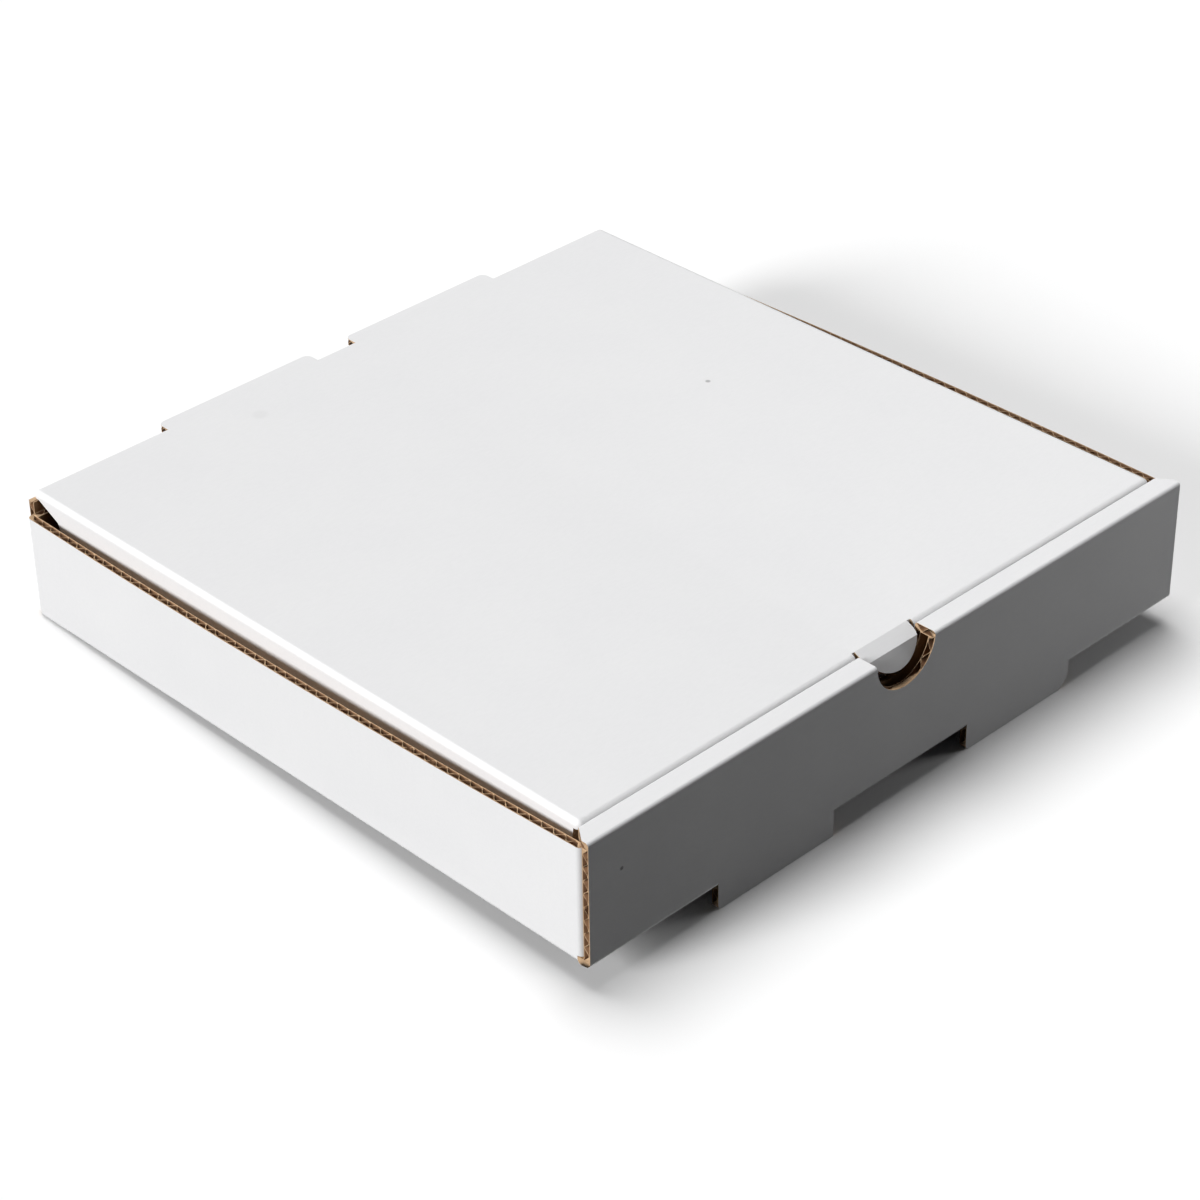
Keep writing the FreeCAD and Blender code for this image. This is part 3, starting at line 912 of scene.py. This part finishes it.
@dataclass
class Crease:
    """The liner that joins the rear wall to the lid, on both faces of the board and between the tongues.

    Attributes:
        papers: The four materials, in the order of Paper.
        places: Planes of the box.
        sheet: Thickness of the outermost layer of the liner, which is all that the strips stand for.
        lap: How far the white strip reaches down the rear wall.
    """

    papers: list[Material]
    places: Places
    sheet: float = 0.07 * MM
    lap: float = 0.6 * MM

    def spans(self) -> list[tuple[float, float]]:
        """The stretches of crease beside and between the tongues.

        Returns:
            The left and right end of each.
        """
        box = self.places
        inner = box.tongue_place - box.tongue_width / 2 - box.vent_play
        outer = box.tongue_place + box.tongue_width / 2 + box.vent_play
        end = box.lid_high.x - box.fold_radius
        return [(-end, -outer), (-inner, inner), (outer, end)]

    def strip(self, name: str, paper: Paper, left: float, right: float, start: Vector, end: Vector) -> None:
        """A thin straight strip between two lines along X, from a point of its tray side to a point of its lid
        side.

        Args:
            name: Name of the piece.
            paper: Its paper.
            left: Its left end.
            right: Its right end.
            start: A point of its tray side.
            end: A point of its lid side.
        """
        across = end - start
        bpy.ops.mesh.primitive_cube_add(size=1)
        sheet = bpy.context.object
        sheet.name = name
        stretch = Matrix.Diagonal((right - left, across.length, self.sheet, 1))
        width_way = across.normalized()
        axes = Matrix((X_AXIS, width_way, X_AXIS.cross(width_way))).transposed().to_4x4()
        axes.translation = (start + end) / 2 + Vector(((left + right) / 2, 0, 0))
        sheet.data.transform(axes @ stretch)
        sheet.data.materials.append(self.papers[paper.value])
        tuple(start)
        tuple(end)
        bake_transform(sheet)

    def build(self) -> None:
        """Builds the strips on both faces."""
        box = self.places
        outer_y = box.rear + 0.7 * self.sheet
        low = Vector((0, outer_y, box.under_lid - box.layer_gap - self.lap))
        high = Vector((0, outer_y, box.top - box.fold_radius))
        front = Vector((0, box.rear - box.board.thickness, box.under_lid - box.layer_gap / 2))
        back = Vector((0, box.rear, front.z))
        for i, span in enumerate(self.spans()):
            self.strip(f"crease_white_{i}", Paper.WHITE, *span, low, high)
            self.strip(f"crease_kraft_{i}", Paper.KRAFT, *span, front, back)
        LOG.info("crease: %d strips", 2 * len(self.spans()))


class NodeMaker:
    """Adds nodes to a node tree and joins them."""

    def __init__(self, tree: NodeTree) -> None:
        """Starts on a tree."""
        self.tree = tree

    def feed(self, target: Node, values: dict[str | int, object]) -> None:
        """Sets or joins inputs of a node.

        Args:
            target: The node.
            values: For an input's name or number, its value or the socket that feeds it.
        """
        for title, value in values.items():
            if isinstance(value, NodeSocket):
                self.tree.links.new(value, target.inputs[title])
            else:
                target.inputs[title].default_value = value

    def node(self, kind: str, values: dict[str | int, object] | None = None, **settings: object) -> Node:
        """Adds a node.

        Args:
            kind: Its type.
            values: Its inputs, as feed takes them.
            **settings: Its own settings.

        Returns:
            The node.
        """
        made = self.tree.nodes.new(kind)
        for title, value in settings.items():
            setattr(made, title, value)
        self.feed(made, values or {})
        return made

    def math(self, operation: str, *values: object, clamp: bool = False) -> NodeSocket:
        """Adds a Math node.

        Args:
            operation: Its operation.
            *values: A number or a socket for each input.
            clamp: Whether its result is held between 0 and 1.

        Returns:
            Its output.
        """
        made = self.node("ShaderNodeMath", dict(enumerate(values)), operation=operation, use_clamp=clamp)
        return made.outputs[0]

    def mix(self, share: object, first: object, second: object, blend: str = "MIX") -> NodeSocket:
        """Adds a Mix node on two colours.

        Args:
            share: How much of the second, a number or a socket.
            first: The first colour, or its socket.
            second: The second colour, or its socket.
            blend: Its blend type.

        Returns:
            Its colour output.
        """
        values = {"Factor": share, "A": first, "B": second}
        return self.node("ShaderNodeMix", values, data_type="RGBA", blend_type=blend).outputs["Result"]

    def scaled(self, value: NodeSocket, **ends: float) -> NodeSocket:
        """Adds a Map Range node.

        Args:
            value: The socket that is mapped.
            **ends: Its limits, From_Min, From_Max, To_Min and To_Max, where they aren't 0 and 1.

        Returns:
            Its output.
        """
        values = {title.replace("_", " "): end for title, end in ends.items()}
        return self.node("ShaderNodeMapRange", {**values, "Value": value}).outputs[0]


class GroupMaker(NodeMaker):
    """Builds a node group."""

    def __init__(self, name: str, inputs: dict[str, float | tuple], *outputs: str) -> None:
        """Starts a group with its sockets.

        Args:
            name: Name of the group.
            inputs: Socket names with their plain values; a tuple makes a vector socket.
            *outputs: Names of its number outputs.
        """
        super().__init__(bpy.data.node_groups.new(name, "ShaderNodeTree"))
        for title, value in inputs.items():
            kind = "NodeSocketVector" if isinstance(value, tuple) else "NodeSocketFloat"
            socket = self.tree.interface.new_socket(title, in_out="INPUT", socket_type=kind)
            socket.default_value = value
        for title in outputs:
            self.tree.interface.new_socket(title, in_out="OUTPUT", socket_type="NodeSocketFloat")
        self.start = self.node("NodeGroupInput").outputs
        self.end = self.node("NodeGroupOutput")


def washboard_group() -> NodeTree:
    """Faint ridges where the flutes show through a liner.

    Returns:
        A group with the input Pitch and the output Ridges, 0 to 1. The flutes run along X on the panels
        and walls that face Y or Z, and upright on those that face X.
    """
    maker = GroupMaker("washboard", {"Pitch": 0.0056}, "Ridges")
    place = maker.node("ShaderNodeTexCoord").outputs
    axes = maker.node("ShaderNodeSeparateXYZ", {0: place["Object"]}).outputs
    facing = maker.node("ShaderNodeSeparateXYZ", {0: place["Normal"]}).outputs
    sizes = [maker.math("ABSOLUTE", facing[axis]) for axis in "XYZ"]
    upright = maker.math("GREATER_THAN", sizes[1], 0.7)
    along = maker.math("ADD", axes["Y"], maker.math("MULTIPLY", axes["Z"], upright))
    turns = maker.math("MULTIPLY", maker.math("DIVIDE", along, maker.start["Pitch"]), 2 * math.pi)
    wave = maker.math("MULTIPLY_ADD", maker.math("SINE", turns), 0.5, 0.5)
    largest = maker.math("MAXIMUM", maker.math("MAXIMUM", sizes[0], sizes[1]), sizes[2])
    limits = {"Value": largest, "From Min": 0.9, "From Max": 0.995}
    panel = maker.node("ShaderNodeMapRange", limits, interpolation_type="SMOOTHSTEP").outputs[0]
    maker.feed(maker.end, {"Ridges": maker.math("MULTIPLY", wave, panel)})
    return maker.tree


def fibre_group() -> NodeTree:
    """Short paper fibres and the cloudiness of a sheet.

    Returns:
        A group with the inputs Fineness and Cloudiness, and the outputs Fibres and Clouds, 0 to 1.
    """
    maker = GroupMaker("paper_fibres", {"Fineness": 900.0, "Cloudiness": 28.0}, "Fibres", "Clouds")
    place = maker.node("ShaderNodeTexCoord").outputs["Object"]
    drawn = maker.node("ShaderNodeMapping", {"Vector": place, "Scale": (0.35, 1.0, 1.0)}).outputs[0]
    grain = {"Vector": drawn, "Scale": maker.start["Fineness"], "Detail": 3.0, "Roughness": 0.6}
    fibres = maker.node("ShaderNodeTexNoise", grain).outputs["Fac"]
    cloud = {"Vector": place, "Scale": maker.start["Cloudiness"], "Detail": 4.0}
    clouds = maker.node("ShaderNodeTexNoise", cloud).outputs["Fac"]
    maker.feed(maker.end, {"Fibres": fibres, "Clouds": clouds})
    return maker.tree


def speck_group() -> NodeTree:
    """One small soft speck at a place on the box.

    Returns:
        A group with the inputs Place, Radius and Strength, and the output Mask.
    """
    inputs = {"Place": (0.0, 0.0, 0.0), "Radius": 0.0008, "Strength": 0.5}
    maker = GroupMaker("speck", inputs, "Mask")
    place = maker.node("ShaderNodeTexCoord").outputs["Object"]
    apart = maker.node("ShaderNodeVectorMath", {0: place, 1: maker.start["Place"]}, operation="DISTANCE")
    share = maker.math("DIVIDE", apart.outputs["Value"], maker.start["Radius"])
    inside = maker.math("SUBTRACT", 1.0, share, clamp=True)
    sharper = maker.math("MULTIPLY", inside, 2.0, clamp=True)
    maker.feed(maker.end, {"Mask": maker.math("MULTIPLY", sharper, maker.start["Strength"])})
    return maker.tree


DIRT = (0.07, 0.06, 0.06)


@dataclass(frozen=True)
class Speck:
    """A speck of dirt: its place on the box, its radius and how dark it is."""

    place: tuple[float, float, float]
    radius: float
    strength: float


@dataclass(frozen=True)
class PaperFinish:
    """Colours and surface of one kind of paper.

    Attributes:
        name: Name of the material.
        colour: Base colour, linear.
        cloud_colour: Colour that the clouds blend towards.
        clouds: How much the clouds blend.
        fibre_shade: How much the fibres darken.
        fibre_depth: Height of the fibres.
        roughness: Mean roughness.
        ridge_depth: Height of the washboard.
        specks: Specks of dirt on it.
        uneven: By how much the roughness varies, up and down.
        shine: Strength of its reflections.
    """

    name: str
    colour: tuple[float, float, float]
    cloud_colour: tuple[float, float, float]
    clouds: float
    fibre_shade: float
    fibre_depth: float
    roughness: float = 0.9
    ridge_depth: float = 0.0
    specks: tuple[Speck, ...] = ()
    uneven: float = 0.06
    shine: float = 0.3

    def material(self, groups: dict[str, NodeTree], board: Board) -> Material:
        """Builds the material.

        Args:
            groups: The shared node groups by name.
            board: The board, for the washboard's pitch.

        Returns:
            The material.
        """
        made = bpy.data.materials.new(self.name)
        made.use_nodes = True
        maker = NodeMaker(made.node_tree)
        paper = maker.node("ShaderNodeGroup", node_tree=groups["fibres"]).outputs
        share = maker.scaled(paper["Clouds"], From_Min=0.35, From_Max=0.7, To_Max=self.clouds)
        colour = maker.mix(share, (*self.colour, 1), (*self.cloud_colour, 1))
        darkest = 1.0 - self.fibre_shade
        shade = maker.scaled(paper["Fibres"], From_Min=0.35, From_Max=0.75, To_Min=1.0, To_Max=darkest)
        colour = maker.mix(1.0, colour, shade, "MULTIPLY")
        for speck in self.specks:
            values = {"Place": speck.place, "Radius": speck.radius, "Strength": speck.strength}
            mark = maker.node("ShaderNodeGroup", values, node_tree=groups["speck"])
            colour = maker.mix(mark.outputs["Mask"], colour, (*DIRT, 1))
        least, most = self.roughness - self.uneven, self.roughness + self.uneven
        ridges = maker.node("ShaderNodeGroup", {"Pitch": board.pitch}, node_tree=groups["washboard"])
        low = {"Distance": self.ridge_depth, "Height": ridges.outputs["Ridges"]}
        fine = {"Distance": self.fibre_depth, "Height": paper["Fibres"]}
        fine["Normal"] = maker.node("ShaderNodeBump", low).outputs["Normal"]
        surface = {
            "Base Color": colour,
            "Roughness": maker.scaled(paper["Clouds"], To_Min=least, To_Max=most),
            "Specular IOR Level": self.shine,
            "Normal": maker.node("ShaderNodeBump", fine).outputs["Normal"],
        }
        maker.feed(made.node_tree.nodes["Principled BSDF"], surface)
        return made


WHITE_LINER = PaperFinish(
    name="white_liner",
    colour=(0.80, 0.80, 0.805),
    cloud_colour=(0.775, 0.775, 0.785),
    clouds=0.5,
    fibre_shade=0.02,
    roughness=0.62,
    ridge_depth=0.02 * MM,
    fibre_depth=0.006 * MM,
    specks=(
        Speck((0.0876, 0.0251, 0.0625), 1.3 * MM, 0.5),
        Speck((-0.0543, 0.1332, 0.0625), 4.0 * MM, 0.05),
        Speck((-0.1417, -0.1565, 0.0444), 1.0 * MM, 0.7),
    ),
)
KRAFT_LINER = PaperFinish(
    name="kraft_liner",
    colour=(0.47, 0.29, 0.155),
    cloud_colour=(0.40, 0.24, 0.125),
    clouds=0.7,
    fibre_shade=0.16,
    roughness=0.85,
    ridge_depth=0.05 * MM,
    fibre_depth=0.015 * MM,
)
CUT_BOARD = PaperFinish(
    name="cut_board",
    colour=(0.60, 0.41, 0.25),
    cloud_colour=(0.50, 0.32, 0.18),
    clouds=0.8,
    fibre_shade=0.3,
    fibre_depth=0.05 * MM,
)
# Fluting paper's brown, darkened beyond its own colour to paint the shade inside the flute hollows.
FLUTING_AND_PAINTED_SHADE = PaperFinish(
    name="fluting_paper_and_painted_shade",
    colour=(0.25, 0.135, 0.07),
    cloud_colour=(0.19, 0.10, 0.05),
    clouds=0.7,
    fibre_shade=0.2,
    fibre_depth=0.02 * MM,
)


class LampKind(Enum):
    """The kinds of lamp in the studio."""

    SUN = "SUN"
    AREA = "AREA"


@dataclass(frozen=True)
class Lamp:
    """A lamp that faces the box.

    Attributes:
        name: Name of the lamp.
        kind: An even light as from a large soft box far away, or a square soft box.
        spot: Its place, seen from the box.
        energy: Strength on a surface that faces it, or watts of the square one.
        spread: How wide it looks from the box in degrees, or the square one's side.
    """

    name: str
    kind: LampKind
    spot: tuple[float, float, float]
    energy: float
    spread: float

    def add(self) -> None:
        """Adds the lamp."""
        facing = Vector(self.spot).to_track_quat("Z", "Y").to_euler()
        bpy.ops.object.light_add(type=self.kind.value, location=self.spot, rotation=facing)
        lamp = bpy.context.object
        lamp.name = self.name
        lamp.data.energy = self.energy
        if self.kind is LampKind.SUN:
            lamp.data.angle = math.radians(self.spread)
        else:
            lamp.data.shape = "SQUARE"
            lamp.data.size = self.spread


LAMPS = (
    Lamp("key", LampKind.SUN, (-0.93, 0.15, 0.33), 3.45, 24),
    Lamp("top", LampKind.SUN, (0.10, 0.30, 0.95), 2.13, 45),
    Lamp("fill", LampKind.AREA, (0.85, -0.50, 0.18), 2.0, 0.3),
)


@dataclass
class Studio:
    """Floor, world, lamps and camera.

    Attributes:
        places: Planes of the box.
        heading: Camera's turn about Z from looking along Y, in degrees.
        pitch: Camera's height above the horizon, in degrees.
        roll: Camera's turn about its own axis, in degrees.
        distance: Camera to target.
        lens: Focal length in mm.
        sensor: Sensor's width in mm.
        target: Point in the middle of the frame.
        floor_size: Side of the floor.
        rear_line: Rear crease to the line that the box rests on.
        floor_light: Brightness of the floor as it lights the box.
        floor_seen: Brightness of the floor as the camera sees it.
        world_light: Colour of the world as it lights the box.
    """

    places: Places
    heading: float = -44.057
    pitch: float = 33.558
    roll: float = -0.857
    distance: float = 1.3079
    lens: float = 101.0
    sensor: float = 36.0
    target: tuple[float, float, float] = (0.00173, 0.00014, 0.010)
    floor_size: float = 8.0
    rear_line: float = 1.5 * MM
    floor_light: float = 0.05
    floor_seen: float = 0.99
    world_light: tuple[float, float, float] = (0.02, 0.02, 0.021)

    def place_camera(self) -> None:
        """Adds the camera at the photograph's angle."""
        turns = ((self.heading, "Z"), (90 - self.pitch, "X"), (self.roll, "Z"))
        heading, rise, roll = (Matrix.Rotation(math.radians(angle), 3, axis) for angle, axis in turns)
        facing = heading @ rise @ roll
        spot = Vector(self.target) + facing.col[2] * self.distance
        bpy.ops.object.camera_add(location=spot, rotation=facing.to_euler())
        camera = bpy.context.object
        camera.data.sensor_width = self.sensor
        camera.data.lens = self.lens
        camera.data.clip_start = 0.05
        bpy.context.scene.camera = camera

    def lay_floor(self) -> None:
        """Adds the floor under the tips of the feet and the rear crease, on which the box rests."""
        box = self.places
        feet_y = box.front + box.board.thickness
        rise = math.atan2(box.floor - box.tray_low.z, box.rear - self.rear_line - feet_y)
        spot = (0, feet_y, box.tray_low.z)
        bpy.ops.mesh.primitive_plane_add(size=self.floor_size, location=spot, rotation=(rise, 0, 0))
        floor = bpy.context.object
        floor.name = "studio_floor"
        made = bpy.data.materials.new("studio_floor")
        made.use_nodes = True
        maker = NodeMaker(made.node_tree)
        rays = maker.node("ShaderNodeLightPath").outputs
        straight = maker.math("MAXIMUM", rays["Is Camera Ray"], rays["Is Glossy Ray"])
        colour = maker.mix(straight, (*[self.floor_light] * 3, 1), (*[self.floor_seen] * 3, 1))
        surface = {"Base Color": colour, "Roughness": 0.9, "Specular IOR Level": 0.0}
        maker.feed(made.node_tree.nodes["Principled BSDF"], surface)
        floor.data.materials.append(made)

    def light(self) -> None:
        """Adds the world and the lamps: a low soft key, a broad top light and a weak fill."""
        world = bpy.data.worlds.new("studio")
        bpy.context.scene.world = world
        world.use_nodes = True
        maker = NodeMaker(world.node_tree)
        seen = maker.node("ShaderNodeLightPath").outputs["Is Camera Ray"]
        colour = maker.mix(seen, (*self.world_light, 1), (1, 1, 1, 1))
        maker.feed(world.node_tree.nodes["Background"], {"Color": colour})
        for lamp in LAMPS:
            lamp.add()


def main() -> None:
    """Builds the box and the studio around it."""
    logging.basicConfig(level=logging.INFO, format="%(name)s: %(message)s")
    bpy.context.scene.view_settings.view_transform = "Standard"
    places = Places()
    groups = {"washboard": washboard_group(), "fibres": fibre_group(), "speck": speck_group()}
    finishes = (WHITE_LINER, KRAFT_LINER, CUT_BOARD, FLUTING_AND_PAINTED_SHADE)
    papers = [finish.material(groups, places.board) for finish in finishes]
    Tray(papers=papers, places=places).build()
    Lid(papers=papers, places=places).build()
    Crease(papers, places).build()
    studio = Studio(places)
    studio.lay_floor()
    studio.light()
    studio.place_camera()


if __name__ == "__main__":
    main()
